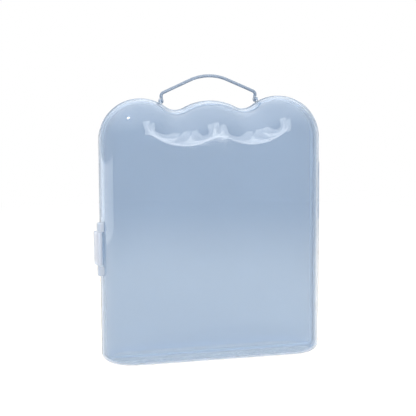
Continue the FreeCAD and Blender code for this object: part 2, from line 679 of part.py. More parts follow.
def make_latch_tongue():
    body = doc.addObject("PartDesign::Body", "LatchTongue")
    body.Label = "latch_tongue"
    foot = "(latch_middle - tongue_length / 2)"
    barrel = add_sketch(body, "Barrel", "XY_Plane", (LATCH_X, LATCH_Y, foot))
    circle(barrel, "latch_radius")
    pad(body, "BarrelPad", barrel, "tongue_length")

    half_reach = "((latch_offset + tongue_tail) / 2)"
    bow_x = "(tongue_bow - case_width / 2 - tongue_rise)"
    bow = add_sketch(body, "Bow", "XY_Plane", (bow_x, f"{LATCH_Y} + {half_reach}", foot))
    bowed_plate(bow, f"-{half_reach}", half_reach)
    plate = pad(body, "BowPlate", bow, "tongue_length")
    tail = value("tongue_tail")
    rounded = round_edges(
        body,
        "TailCorners",
        plate,
        lambda edge: lies_at(edge, "y", tail) and edge.Length < value("tongue_length / 2"),
        "tongue_corner",
    )

    hook = add_sketch(body, "Hook", "XY_Plane", ("0", "0", "latch_middle - catch_length / 2"))
    tip = "-(case_width / 2 + catch_rise - hook_bite)"
    rooted = "-(case_width / 2 + tongue_rise - tongue_wall)"
    start = f"({CATCH_END} + hook_play)"
    polygon(
        hook,
        [
            (tip, start),
            (tip, f"{start} + hook_width"),
            (rooted, f"{start} + hook_width"),
            (rooted, start),
        ],
    )
    pad(body, "HookPad", hook, "catch_length")
    bore = add_sketch(body, "Bore", "XY_Plane", (LATCH_X, LATCH_Y, foot))
    circle(bore, "latch_pin_radius + pin_play")
    pocket(body, "BoreCut", bore, "tongue_length")
    return body


pieces = [
    make_rear_shell(),
    make_front_shell(),
    make_handle(),
    make_rivet("handle_rivet_left", -1),
    make_rivet("handle_rivet_right", 1),
    make_pin("hinge_pin", (HINGE_X, HINGE_Y, HINGE_FOOT), "hinge_pin_radius", "hinge_length"),
    make_latch_tongue(),
    make_pin("latch_pin", (LATCH_X, LATCH_Y, LATCH_FOOT), "latch_pin_radius", "latch_length"),
]
doc.recompute()

# Nothing is written unless every feature came out and every piece is one valid solid
for item in doc.Objects:
    if "Invalid" in item.State or "Error" in item.State:
        raise RuntimeError(f"{item.Label} failed: {item.State}")
for piece in pieces:
    if piece.Shape.isNull() or not piece.Shape.isValid() or len(piece.Shape.Solids) != 1:
        raise RuntimeError(f"{piece.Label} is not one valid solid")

os.makedirs("parts", exist_ok=True)
for piece in pieces:
    piece.Shape.exportStep(f"parts/{piece.Label}.step")
    print(piece.Label, round(piece.Shape.Volume, 1))
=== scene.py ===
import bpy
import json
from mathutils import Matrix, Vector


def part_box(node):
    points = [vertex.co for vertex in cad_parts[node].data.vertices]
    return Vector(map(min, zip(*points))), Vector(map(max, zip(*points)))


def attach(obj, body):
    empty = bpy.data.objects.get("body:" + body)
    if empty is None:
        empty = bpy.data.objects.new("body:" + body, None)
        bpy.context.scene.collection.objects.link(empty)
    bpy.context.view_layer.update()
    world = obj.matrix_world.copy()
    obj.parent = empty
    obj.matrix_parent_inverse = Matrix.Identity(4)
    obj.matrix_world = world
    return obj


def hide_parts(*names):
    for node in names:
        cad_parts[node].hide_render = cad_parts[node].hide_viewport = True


bl_info = {
    "name": "Clear Storage Case",
    "version": (1, 0, 0),
    "blender": (4, 5, 0),
    "location": "View3D > Sidebar > Case",
    "description": "Dresses a clear clamshell case with a wavy top, a bail handle, a hinge and a latch",
    "category": "Object",
}

import json
import math

import bmesh
import bpy
from bmesh.types import BMEdge, BMFace, BMVert
from bpy.props import FloatProperty, FloatVectorProperty, PointerProperty
from mathutils import Matrix, Quaternion, Vector

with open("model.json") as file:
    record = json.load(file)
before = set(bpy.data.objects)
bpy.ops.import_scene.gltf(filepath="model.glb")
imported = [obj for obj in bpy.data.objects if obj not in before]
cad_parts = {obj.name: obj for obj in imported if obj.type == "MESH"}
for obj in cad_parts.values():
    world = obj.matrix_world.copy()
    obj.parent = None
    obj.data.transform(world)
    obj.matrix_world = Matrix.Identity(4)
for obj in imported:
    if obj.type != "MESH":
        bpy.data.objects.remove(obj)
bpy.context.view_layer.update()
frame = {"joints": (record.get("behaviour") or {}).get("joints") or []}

# Units and directions
MM = 0.001
X, Y, Z = range(3)
RIGHT = (1, 0, 0)
BACK = (0, 1, 0)
UP = (0, 0, 1)
BACKWARD = 1
FORWARD = -1
QUARTER_TURN = math.pi / 2
HALF_TURN = math.pi
FULL_TURN = 2 * math.pi

# Places that the frame gives
REAR_LOW, REAR_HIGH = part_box("rear_shell")
LID_LOW, LID_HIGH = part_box("front_shell")
HINGE_PIN_LOW, HINGE_PIN_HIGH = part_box("hinge_pin")
LATCH_PIN_LOW, LATCH_PIN_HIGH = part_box("latch_pin")
TONGUE_LOW, TONGUE_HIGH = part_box("latch_tongue")
HANDLE_LOW, HANDLE_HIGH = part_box("handle")
AXES = {joint["name"]: Vector(joint["pos_m"]) for joint in frame["joints"]}
HINGE = AXES["lid_hinge"]
LATCH = AXES["latch_hinge"]
PIVOT = Vector((0, AXES["handle_swing"].y, AXES["handle_swing"].z))
KNUCKLE_RADIUS = REAR_HIGH.x - HINGE.x
LATCH_RADIUS = LATCH.x - LID_LOW.x
FOOT_RADIUS = PIVOT.z - HANDLE_LOW.z

# Knuckles of the hinge, from the foot up: each shell has every other one
KNUCKLES = 5
REAR_FIRST = 0
LID_FIRST = 1

# Places in the lid's list of materials, and which of its bands are the lip
# The lip's slot takes a pale plastic whose colour is a painted highlight, standing in for light caught
# along the seam
PAINTED_HIGHLIGHT_SLOT = 1
MILKY_SLOT = 2
LIP = slice(1, 5)

# How finely round stretches are divided
CREST_STEPS = 14
VALLEY_STEPS = 18
LOBE_STEPS = 44
CROWN_STEPS = 16
CORNER_STEPS = 8
BARREL_STEPS = 32
HALF_BARREL_STEPS = BARREL_STEPS // 2
ROD_SIDES = 24
BEND_STEPS = 8
ARCH_STEPS = 16
BOW_STEPS = 14
SOFT_STEPS = 2
PIN_SOFT_STEPS = 3
PLATE_SOFT_STEPS = 4
LUG_SOFT_STEPS = 5

# Distances and angles that count as nothing, and angles past which an edge stays sharp or is softened
NEAR = 1e-6
WELD = MM / 100
ROOT_MARGIN = MM / 2
SMALLEST_ANGLE = 1e-12
SHARP = math.radians(32)
SQUARE = math.radians(60)

# How far a bore's tool runs past its hole, and past an ear on the side of the eye
PAST = MM
PAST_EAR = MM / 10

# Plastics: clouds of the colour, rubbing marks, relief, sheen and bending of the light
CLOUDING = 0.03
FLOW_SCALE = 14.0
FLOW_DETAIL = 2.0
MARK_SCALE = 900.0
MARK_DETAIL = 4.0
MARK_STRETCH = (1.0, 1.0, 0.12)
MARK_LEVELS = (0.45, 0.75)
RUBBED_ROUGHER = 1.8
RELIEF = 0.1
RELIEF_DEPTH = 2 * MM
SHEEN = 0.1
SHEEN_ROUGHNESS = 0.35
PLASTIC_BENDING = 1.5
# Bending near one for the lip's pale plastic, which carries a painted highlight
PAINTED_HIGHLIGHT_BENDING = 1.03
SHADOW_GAMMA = 0.5

# Floor and world: levels of white at the horizon and overhead, as light and as the eye sees them
FLOOR_RADIUS = 30.0
FLOOR_SIDES = 96
FLOOR_COLOUR = (0.83, 0.81, 0.78, 1)
FLOOR_GLOW = (1.0, 0.88, 0.74, 1)
FLOOR_GLOW_LEVEL = 0.62
FLOOR_FADE = (0.35, 1.1)
OVERHEAD = (0.2, 0.95)
WORLD_LIT = (0.38, 1.0)
WORLD_SEEN = (1.0, 2.3)
WHITE = (1, 1, 1, 1)

# Lamps and cards: degrees round and above the case, metres, and brightness
PANE = dict(distance=2.4, level=2.8)
LAMPS = {
    "pane_left": dict(PANE, azimuth=9.5, elevation=19.5, wide=0.27, high=1.99, roll=9.5),
    "pane_middle": dict(PANE, azimuth=15.5, elevation=19.5, wide=0.33, high=2.19),
    "pane_right": dict(PANE, azimuth=21.5, elevation=16.5, wide=0.27, high=1.75, roll=-11.5),
    "sill": dict(azimuth=15, elevation=-3.6, distance=1.7, wide=0.09, high=0.07, level=6.5),
    "key": dict(azimuth=-60, elevation=57, distance=2.2, wide=0.2, high=0.2, level=52.0),
    "side": dict(azimuth=-117, elevation=-10.4, distance=0.8, wide=0.92, high=0.11, level=1.5),
}
CARDS = {
    "card_right": dict(azimuth=139, elevation=0, distance=0.9, wide=0.27, high=1.0),
    "card_above": dict(azimuth=165, elevation=16, distance=1.6, wide=3.0, high=0.55),
}
CARD_COLOUR = (0.52, 0.60, 0.71, 1)
WATTS_PER_LEVEL = 4
EDGE_BELOW_PIVOT = 30 * MM

# Camera
CAMERA_PLACE = (-0.31970, -1.14646, 0.29027)
CAMERA_LOOK = (0.26464, 0.95542, -0.13093)
CAMERA_ROLL = math.radians(-0.33)
CAMERA_LENS = 116.27
CAMERA_SENSOR = 36.0


def length(label, meaning, size):
    """A length that a user may change: millimetres here, metres in Blender."""
    return FloatProperty(name=label, description=meaning, default=size * MM, unit="LENGTH", precision=5)


def tint(label, meaning, colour):
    return FloatVectorProperty(
        name=label, description=meaning, default=colour, size=3, min=0.0, max=1.0, subtype="COLOR"
    )


def share(label, meaning, level):
    return FloatProperty(name=label, description=meaning, default=level, min=0.0, max=1.0, subtype="FACTOR")


class CaseSizes(bpy.types.PropertyGroup):
    """Sizes of the case that the frame doesn't give by itself."""

    wall: length("Wall", "Wall of both shells", 2.0)
    rim_land: length("Rim land", "Straight part of a wall beside the seam", 1.6)
    seam_gap: length("Seam gap", "Gap between the two rims", 0.2)
    rim_round: length("Rim rounding", "Softened edges of the rims and the lip", 0.25)
    lobe_place: length("Lobe place", "Middles of the outer lobes from the middle of the case", 63.2)
    valley_radius: length("Valley radius", "Valleys of the top edge", 17.6)
    valley_drop: length("Valley drop", "Valleys below the outer lobes", 10.7)
    crest_drop: length("Crest drop", "Middle crest below the outer lobes", 3.1)
    base_radius: length("Base radius", "Rounding round the flat base", 7.5)
    root_sink: length("Root sink", "How far a moulded lug is rooted in its wall", 1.2)
    lip_play: length("Lip play", "Lip to the inside of the rear wall", 0.2)
    lip_wall: length("Lip wall", "Thickness of the lid's lip", 1.5)
    lip_root: length("Lip root", "Depth of the lip's root in the lid", 4.0)
    hinge_rise: length("Hinge rise", "Hinge axis outside the right wall", 1.0)
    hinge_leaf: length("Hinge leaf", "Leaf of a knuckle along its wall", 3.0)
    knuckle_play: length("Knuckle play", "Knuckle to the other shell", 0.3)
    pin_play: length("Pin play", "Running fit of every pin", 0.05)
    latch_root: length("Latch root", "Root of the latch knuckles in the wall", 1.69)
    latch_rounding: length("Latch rounding", "Outer ends of the latch knuckles", 1.5)
    tongue_play: length("Tongue play", "Flap to the latch knuckles", 0.3)
    tongue_wall: length("Tongue wall", "Thickness of the flap", 2.0)
    tongue_bow: length("Tongue bow", "Radius of the flap's bowed outside", 33.0)
    tongue_corner: length("Tongue corner", "Corners of the flap's end", 8.5)
    tongue_end: length("Tongue ends", "Rounding of the flap's outer edges", 1.5)
    catch_offset: length("Catch offset", "Catch's top edge behind the seam", 4.7)
    catch_width: length("Catch width", "Catch's top", 1.8)
    catch_ramp: length("Catch ramp", "Slope in front of the catch's top", 1.7)
    catch_length: length("Catch length", "Height of the catch and of the hook", 22.0)
    hook_bite: length("Hook bite", "How far the hook reaches behind the catch", 1.0)
    hook_play: length("Hook play", "Hook behind the catch", 0.2)
    hook_width: length("Hook width", "Thickness of the hook", 2.0)
    hook_root: length("Hook root", "Root of the hook behind the flap's outside", 1.5)
    rod_radius: length("Rod radius", "Rod of the handle", 1.4)
    rod_round: length("Rod rounding", "Softened ends of the handle's rod", 0.5)
    handle_crown: length("Handle crown", "Half width of the crown's arc", 17.2)
    handle_bend: length("Handle bend", "Radius of the bend above each leg", 3.5)
    handle_leg: length("Handle leg", "Straight part of each leg", 1.5)
    foot_wall: length("Foot wall", "Thickness of the handle's eyes", 1.6)
    foot_neck: length("Foot neck", "Width of the neck between eye and rod", 2.4)
    leg_play: length("Leg play", "Rod above the ear", 0.5)
    foot_overlap: length("Foot overlap", "Neck inside the rod", 1.0)
    ear_play: length("Ear play", "Eye to the ear", 0.2)
    ear_wall: length("Ear wall", "Thickness of the ears", 1.6)
    rivet_radius: length("Rivet radius", "Shank of the rivets", 0.75)
    rivet_head: length("Rivet head", "Thickness of a rivet head", 0.5)
    rivet_round: length("Rivet rounding", "Softened edges of the rivets", 0.125)
    edge_round: length("Edge rounding", "Softened edges of the small mouldings", 0.25)


class CaseFinish(bpy.types.PropertyGroup):
    """Colours, gloss and clarity of the plastics."""

    shell_tint: tint("Shell tint", "Clear plastic of the shells", (0.54, 0.63, 0.74))
    # Pale lip colour: a painted highlight, standing in for light caught along the lip's edges
    lip_highlight_tint: tint("Rim tint", "Pale lip of the lid, painted highlight", (0.93, 0.95, 0.97))
    rod_tint: tint("Rod tint", "Plastic of the handle", (0.31, 0.39, 0.51))
    pin_tint: tint("Pin tint", "Plastic of the pins and rivets", (0.60, 0.68, 0.79))
    latch_tint: tint("Latch tint", "Milky plastic of the latch", (0.80, 0.84, 0.91))
    shell_roughness: share("Shell roughness", "Gloss of the clear shells", 0.035)
    rim_roughness: share("Rim roughness", "Frost of the lip", 0.3)
    rod_roughness: share("Rod roughness", "Gloss of the handle, the pins and the rivets", 0.2)
    latch_roughness: share("Latch roughness", "Gloss of the milky latch", 0.28)
    shell_clarity: share("Shell clarity", "Light that the shells let through", 0.93)
    rim_clarity: share("Rim clarity", "Light that the lip lets through", 0.5)
    rod_clarity: share("Rod clarity", "Light that the handle lets through", 0.15)
    pin_clarity: share("Pin clarity", "Light that the pins and rivets let through", 0.5)
    latch_clarity: share("Latch clarity", "Light that the latch lets through", 0.6)


# Mesh helpers
def everything(bm):
    return bm.verts[:] + bm.edges[:] + bm.faces[:]


def only(items, kind):
    return [item for item in items if isinstance(item, kind)]


def new_edges(bm, known):
    return [edge for edge in bm.edges if edge not in known]


def ends_of(edges):
    """Vertices of some edges, each once and in order."""
    return list(dict.fromkeys(vert for edge in edges for vert in edge.verts))


def lies_at(item, axis, place):
    """True where an edge or face lies at one place along an axis."""
    return all(abs(vert.co[axis] - place) < NEAR for vert in item.verts)


def square_edges(bm):
    return [edge for edge in bm.edges if edge.is_manifold and edge.calc_face_angle() > SQUARE]


def face_outward(bm):
    bmesh.ops.recalc_face_normals(bm, faces=bm.faces)


def bare_object(name, bm):
    face_outward(bm)
    mesh = bpy.data.meshes.new(name)
    bm.to_mesh(mesh)
    bm.free()
    thing = bpy.data.objects.new(name, mesh)
    bpy.context.scene.collection.objects.link(thing)
    return thing


def combine(target, bm, operation):
    """Unites closed shapes with the target, or cuts them away."""
    tool = bare_object("tool", bm)
    step = target.modifiers.new("Step", "BOOLEAN")
    step.operation = operation
    step.solver = "EXACT"
    step.object = tool
    made = bpy.data.meshes.new_from_object(target.evaluated_get(bpy.context.evaluated_depsgraph_get()))
    if len(made.polygons) == 0:
        raise RuntimeError(f"{target.name}: {operation} left nothing")
    target.modifiers.clear()
    target.data = made
    bpy.data.objects.remove(tool)


def dress(piece, body, node, material=None):
    """Gives a piece its shading, finish and body, and hides the CAD node that it stands for."""
    mesh = piece.data
    if material:
        mesh.materials.append(material)
    mesh.polygons.foreach_set("use_smooth", [True] * len(mesh.polygons))
    mesh.set_sharp_from_angle(angle=SHARP)
    flat = piece.modifiers.new("FlatFaces", "WEIGHTED_NORMAL")
    flat.keep_sharp = True
    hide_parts(node)
    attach(piece, body)


def sweep(bm, vert, centre, axis, angle, steps):
    """Draws an arc from one vertex and gives back its end."""
    swept = bmesh.ops.spin(bm, geom=[vert], cent=centre, axis=axis, angle=angle, steps=steps)
    return only(swept["geom_last"], BMVert)[0]


def run(bm, vert, place):
    """Draws a straight edge from one vertex to a place."""
    end = bm.verts.new(place)
    bm.edges.new((vert, end))
    return end


def fill(bm, edges):
    return bmesh.ops.contextual_create(bm, geom=edges)["faces"][0]


def polygon(bm, corners):
    """Closed face through a few corners."""
    verts = [bm.verts.new(corner) for corner in corners]
    return bmesh.ops.contextual_create(bm, geom=verts)["faces"][0]


def raise_face(bm, face, move):
    """Extrudes a face, which stays as the near end, and gives back the far one."""
    raised = bmesh.ops.extrude_face_region(bm, geom=[face])["geom"]
    bmesh.ops.translate(bm, verts=only(raised, BMVert), vec=move)
    return only(raised, BMFace)[0]


def soften(bm, edges, width, segments=SOFT_STEPS):
    bmesh.ops.bevel(
        bm, geom=edges, offset=width, segments=segments, profile=0.5, affect="EDGES", material=-1
    )


def mirror_x(bm, half=None, merge=NEAR):
    """Adds the left half and joins it where it meets the right one."""
    bmesh.ops.mirror(
        bm, geom=half or everything(bm), matrix=Matrix.Identity(4), merge_dist=merge, axis="X"
    )


def round_bar(bm, start, end, radius):
    """Round bar between two points."""
    way = end - start
    place = Matrix.Translation((start + end) / 2) @ way.to_track_quat("Z", "Y").to_matrix().to_4x4()
    bmesh.ops.create_cone(
        bm,
        cap_ends=True,
        segments=BARREL_STEPS,
        radius1=radius,
        radius2=radius,
        depth=way.length,
        matrix=place,
    )


def on_axis(axis, z):
    """Point at a height on an upright axis."""
    return Vector((axis.x, axis.y, z))


def bore_upright(target, axis, foot, top, radius):
    """Cuts the hole for an upright pin."""
    tool = bmesh.new()
    past = Vector((0, 0, PAST))
    round_bar(tool, on_axis(axis, foot) - past, on_axis(axis, top) + past, radius)
    combine(target, tool, "DIFFERENCE")


def bore_pair(target, inner, wall, before, sizes):
    """Cuts the holes for both rivets through a wall on the right and its mirror image."""
    tool = bmesh.new()
    start = PIVOT + Vector((inner - before, 0, 0))
    end = PIVOT + Vector((inner + wall + PAST, 0, 0))
    round_bar(tool, start, end, sizes.rivet_radius + sizes.pin_play)
    mirror_x(tool)
    combine(target, tool, "DIFFERENCE")


def bore_radius(low, high, sizes):
    """Radius of the hole for an upright pin, from the pin's box."""
    return (high.x - low.x) / 2 + sizes.pin_play


def foot_inner(sizes):
    return HANDLE_HIGH.x - 2 * sizes.rod_radius


def ear_inner(sizes):
    return foot_inner(sizes) + sizes.foot_wall + sizes.ear_play


# Outline and shells
class Outline:
    """Arcs of the case's wavy outline; every inset keeps their centres."""

    def __init__(self, sizes):
        self.half = HINGE.x - sizes.hinge_rise
        self.top = LID_HIGH.z
        self.lobe_radius = self.half - sizes.lobe_place
        self.lobe = Vector((sizes.lobe_place, 0, self.top - self.lobe_radius))
        reach = self.lobe_radius + sizes.valley_radius
        valley_x = sizes.lobe_place - math.sqrt(reach**2 - (reach - sizes.valley_drop) ** 2)
        self.valley = Vector((valley_x, 0, self.top - sizes.valley_drop + sizes.valley_radius))
        crest_top = self.top - sizes.crest_drop
        above = self.valley.z - crest_top
        span = valley_x**2 + above**2 - sizes.valley_radius**2
        self.crest_radius = span / (2 * (sizes.valley_radius - above))
        self.crest = Vector((0, 0, crest_top - self.crest_radius))
        self.crest_turn = math.atan2(self.valley.x, self.valley.z - self.crest.z)
        self.lobe_turn = math.atan2(self.lobe.x - self.valley.x, self.valley.z - self.lobe.z)

    def flank(self, x):
        """Height of an outer lobe at a distance from the middle."""
        return self.lobe.z + math.sqrt(self.lobe_radius**2 - (self.lobe.x - x) ** 2)

    def draw(self, bm, inset, y, foot, corner=0):
        """Closed loop in the plane y, with its lower corners rounded; gives its edges."""
        known = set(bm.edges)
        at = Vector((0, y, 0))
        end = bm.verts.new(self.crest + at + Vector((0, 0, self.crest_radius - inset)))
        end = sweep(bm, end, self.crest + at, BACK, self.crest_turn, CREST_STEPS)
        end = sweep(bm, end, self.valley + at, BACK, -self.crest_turn - self.lobe_turn, VALLEY_STEPS)
        end = sweep(bm, end, self.lobe + at, BACK, QUARTER_TURN + self.lobe_turn, LOBE_STEPS)
        side = self.half - inset
        end = run(bm, end, (side, y, foot + corner))
        if corner:
            end = sweep(bm, end, (side - corner, y, foot + corner), BACK, QUARTER_TURN, CORNER_STEPS)
        drawn = new_edges(bm, known)
        mirror_x(bm, drawn + ends_of(drawn))
        drawn = new_edges(bm, known)
        ends = [vert for vert in ends_of(drawn) if len(vert.link_edges) == 1]
        return drawn + [bm.edges.new(ends)]


def tray(outline, sizes, inset, rim, way, depth):
    """Pillow-shaped surface, open at its rim, with a flat base and a rounding round it."""
    bm = bmesh.new()
    radius = depth - sizes.rim_land - inset
    well_below = -2 * depth
    front = fill(bm, outline.draw(bm, inset, rim, well_below))
    front = raise_face(bm, front, (0, way * sizes.rim_land, 0))
    angles = [QUARTER_TURN * step / CROWN_STEPS for step in range(CROWN_STEPS + 1)]
    for first, last in zip(angles, angles[1:]):
        inward = radius * (math.cos(first) - math.cos(last))
        onward = radius * (math.sin(last) - math.sin(first))
        bmesh.ops.inset_region(
            bm, faces=[front], thickness=inward, use_boundary=True, use_even_offset=True
        )
        bmesh.ops.translate(bm, verts=front.verts, vec=(0, way * onward, 0))

    # The base is cut flat, and its edge rounded
    cut = bmesh.ops.bisect_plane(
        bm, geom=everything(bm), dist=NEAR, plane_co=(0, 0, inset), plane_no=UP, clear_inner=True
    )
    base = fill(bm, only(cut["geom_cut"], BMEdge))
    lower = [edge for edge in base.edges if not lies_at(edge, Y, rim)]
    soften(bm, lower, sizes.base_radius - inset, CORNER_STEPS)
    face_outward(bm)
    mouth = [face for face in bm.faces if lies_at(face, Y, rim)]
    bmesh.ops.delete(bm, geom=mouth, context="FACES_ONLY")
    return bm


def add(bm, other, inward=False):
    """Adds another bmesh, inside out if it faces inward; gives the open edges that come with it."""
    known = set(bm.edges)
    if inward:
        bmesh.ops.reverse_faces(other, faces=other.faces)
    mesh = bpy.data.meshes.new("added")
    other.to_mesh(mesh)
    other.free()
    bm.from_mesh(mesh)
    bpy.data.meshes.remove(mesh)
    return [edge for edge in new_edges(bm, known) if edge.is_boundary]


def bridge(bm, loops):
    """Closes the band between each loop and the next, and gives each band's faces."""
    pairs = zip(loops, loops[1:])
    return [bmesh.ops.bridge_loops(bm, edges=first + last)["faces"] for first, last in pairs]


def knuckle(bm, way, foot, top, sizes):
    """Hinge knuckle with a leaf along its own shell's wall."""
    leaf = Vector((-sizes.hinge_rise - sizes.root_sink, way * sizes.hinge_leaf, 0))
    turn = math.atan2(sizes.hinge_leaf, leaf.x) - math.acos(KNUCKLE_RADIUS / leaf.length)
    base = on_axis(HINGE, foot)
    known = set(bm.edges)
    start = bm.verts.new(base - Vector((KNUCKLE_RADIUS, 0, 0)))
    end = sweep(bm, start, base, (0, 0, way), HALF_TURN + turn, BARREL_STEPS)
    end = run(bm, end, base + leaf)
    bm.edges.new((end, start))
    raise_face(bm, fill(bm, new_edges(bm, known)), (0, 0, top - foot))


def hinge_half(shell, first, way, sizes):
    """One shell's knuckles, the clearance for the other shell's, and the bore."""
    foot, top = HINGE_PIN_LOW.z, HINGE_PIN_HIGH.z
    pitch = (top - foot) / KNUCKLES
    gap = Vector((0, 0, sizes.knuckle_play / 2))
    reliefs = bmesh.new()
    knuckles = bmesh.new()
    for place in range(KNUCKLES):
        low = on_axis(HINGE, foot + place * pitch)
        high = low + Vector((0, 0, pitch))
        if place % 2 == first:
            knuckle(knuckles, way, (low + gap).z, (high - gap).z, sizes)
        else:
            round_bar(reliefs, low - gap, high + gap, KNUCKLE_RADIUS + sizes.knuckle_play)
    soften(knuckles, square_edges(knuckles), sizes.edge_round)
    combine(shell, reliefs, "DIFFERENCE")
    combine(shell, knuckles, "UNION")
    bore_upright(shell, HINGE, foot, top, bore_radius(HINGE_PIN_LOW, HINGE_PIN_HIGH, sizes))


class CASE_OT_rear_shell(bpy.types.Operator):
    """Rear shell with its rim, hinge knuckles, catch and handle ears"""

    bl_idname = "case.rear_shell"
    bl_label = "Rear Shell"

    def execute(self, context):
        sizes = context.scene.case_sizes
        outline = Outline(sizes)
        rim = 0
        depth = REAR_HIGH.y
        bm = bmesh.new()
        outer = add(bm, tray(outline, sizes, 0, rim, BACKWARD, depth))
        inner = add(bm, tray(outline, sizes, sizes.wall, rim, BACKWARD, depth), inward=True)
        bridge(bm, [outer, inner])
        face_outward(bm)
        soften(bm, square_edges(bm), sizes.rim_round)
        shell = bare_object("rear_case_shell", bm)
        shell.data.materials.append(clear_shell())
        hinge_half(shell, REAR_FIRST, BACKWARD, sizes)
        combine(shell, self.catch(sizes, outline), "UNION")
        combine(shell, self.ears(sizes, outline), "UNION")
        bore_pair(shell, ear_inner(sizes), sizes.ear_wall, PAST_EAR, sizes)
        dress(shell, "rear", "rear_shell")
        return {"FINISHED"}

    def catch(self, sizes, outline):
        """Ridge with a lead-in slope that the latch's hook snaps behind."""
        bm = bmesh.new()
        foot = LATCH.z - sizes.catch_length / 2
        rooted = -outline.half + sizes.root_sink
        end = sizes.catch_offset + sizes.catch_width
        corners = [
            (rooted, sizes.catch_offset - sizes.catch_ramp, foot),
            (rooted, end, foot),
            (REAR_LOW.x, end, foot),
            (REAR_LOW.x, sizes.catch_offset, foot),
        ]
        raise_face(bm, polygon(bm, corners), (0, 0, sizes.catch_length))
        face_outward(bm)
        proud = [edge for edge in bm.edges if all(vert.co.x < -outline.half for vert in edge.verts)]
        soften(bm, proud, sizes.edge_round)
        return bm

    def ears(self, sizes, outline):
        """Upright ears, round at the top, on the inner flanks of the outer lobes."""
        bm = bmesh.new()
        x = ear_inner(sizes)
        root = outline.flank(x) - sizes.root_sink
        start = bm.verts.new((x, PIVOT.y + FOOT_RADIUS, PIVOT.z))
        end = sweep(bm, start, (x, PIVOT.y, PIVOT.z), RIGHT, HALF_TURN, HALF_BARREL_STEPS)
        end = run(bm, end, (x, PIVOT.y - FOOT_RADIUS, root))
        end = run(bm, end, (x, PIVOT.y + FOOT_RADIUS, root))
        bm.edges.new((end, start))
        raise_face(bm, fill(bm, bm.edges[:]), (sizes.ear_wall, 0, 0))
        face_outward(bm)
        soften(bm, square_edges(bm), sizes.edge_round)
        mirror_x(bm)
        return bm


class CASE_OT_front_shell(bpy.types.Operator):
    """Front shell, the lid, with its lip, hinge knuckles and latch knuckles"""

    bl_idname = "case.front_shell"
    bl_label = "Front Shell"

    def execute(self, context):
        sizes = context.scene.case_sizes
        outline = Outline(sizes)
        rim = -sizes.seam_gap
        depth = rim - LID_LOW.y
        root = rim - sizes.lip_root
        lip_outer = sizes.wall + sizes.lip_play
        lip_inner = lip_outer + sizes.lip_wall
        lip = [(lip_outer, rim), (lip_outer, LID_HIGH.y), (lip_inner, LID_HIGH.y), (lip_inner, root)]

        bm = bmesh.new()
        loops = [add(bm, tray(outline, sizes, 0, rim, FORWARD, depth))]
        for inset, y in lip:
            loops.append(outline.draw(bm, inset, y, inset, sizes.base_radius - inset))
        inner = tray(outline, sizes, sizes.wall, rim, FORWARD, depth)
        bmesh.ops.bisect_plane(
            inner, geom=everything(inner), dist=NEAR, plane_co=(0, root, 0), plane_no=BACK, clear_outer=True
        )
        loops.append(add(bm, inner, inward=True))
        bands = bridge(bm, loops)
        # The lip's bands take the pale plastic, a painted highlight along the seam
        for band in bands[LIP]:
            for face in band:
                face.material_index = PAINTED_HIGHLIGHT_SLOT
        face_outward(bm)
        soften(bm, square_edges(bm), sizes.rim_round)
        shell = bare_object("front_case_shell", bm)
        for material in (clear_shell(), painted_highlight_lip(), milky_latch()):
            shell.data.materials.append(material)
        hinge_half(shell, LID_FIRST, FORWARD, sizes)
        combine(shell, self.latch_knuckles(sizes), "UNION")
        radius = bore_radius(LATCH_PIN_LOW, LATCH_PIN_HIGH, sizes)
        bore_upright(shell, LATCH, LATCH_PIN_LOW.z, LATCH_PIN_HIGH.z, radius)
        dress(shell, "lid", "front_shell")
        return {"FINISHED"}

    def latch_knuckles(self, sizes):
        """Two round-ended lugs that carry the latch pin."""
        bm = bmesh.new()
        low, high = LATCH_PIN_LOW.z, LATCH_PIN_HIGH.z
        spans = [(low, TONGUE_LOW.z - sizes.tongue_play), (high, TONGUE_HIGH.z + sizes.tongue_play)]
        reach = Vector((-LATCH.x - HINGE.x + sizes.hinge_rise + sizes.latch_root, 0, 0))
        for outer, inner in spans:
            known = set(bm.edges)
            centre = on_axis(LATCH, outer)
            upper = centre + Vector((0, LATCH_RADIUS, 0))
            start = bm.verts.new(upper)
            end = sweep(bm, start, centre, UP, HALF_TURN, HALF_BARREL_STEPS)
            end = run(bm, end, end.co + reach)
            end = run(bm, end, upper + reach)
            bm.edges.new((end, start))
            raise_face(bm, fill(bm, new_edges(bm, known)), (0, 0, inner - outer))
        face_outward(bm)
        for face in bm.faces:
            face.material_index = MILKY_SLOT
        root = LATCH.x + reach.x - ROOT_MARGIN
        ends = [edge for edge in bm.edges if lies_at(edge, Z, low) or lies_at(edge, Z, high)]
        free = [edge for edge in ends if any(vert.co.x < root for vert in edge.verts)]
        soften(bm, free, sizes.latch_rounding, LUG_SOFT_STEPS)
        return bm


def slope_angle(span, rise, half, bend):
    """Slope between bend and crown that makes up the rise, found by halving the interval."""
    low, high = 0.0, QUARTER_TURN
    while high - low > SMALLEST_ANGLE:
        angle = (low + high) / 2
        reached = bend * math.tan((QUARTER_TURN - angle) / 2)
        reached += (span - half) * math.tan(angle)
        reached += half * math.tan(angle / 2)
        low, high = (angle, high) if reached < rise else (low, angle)
    return low


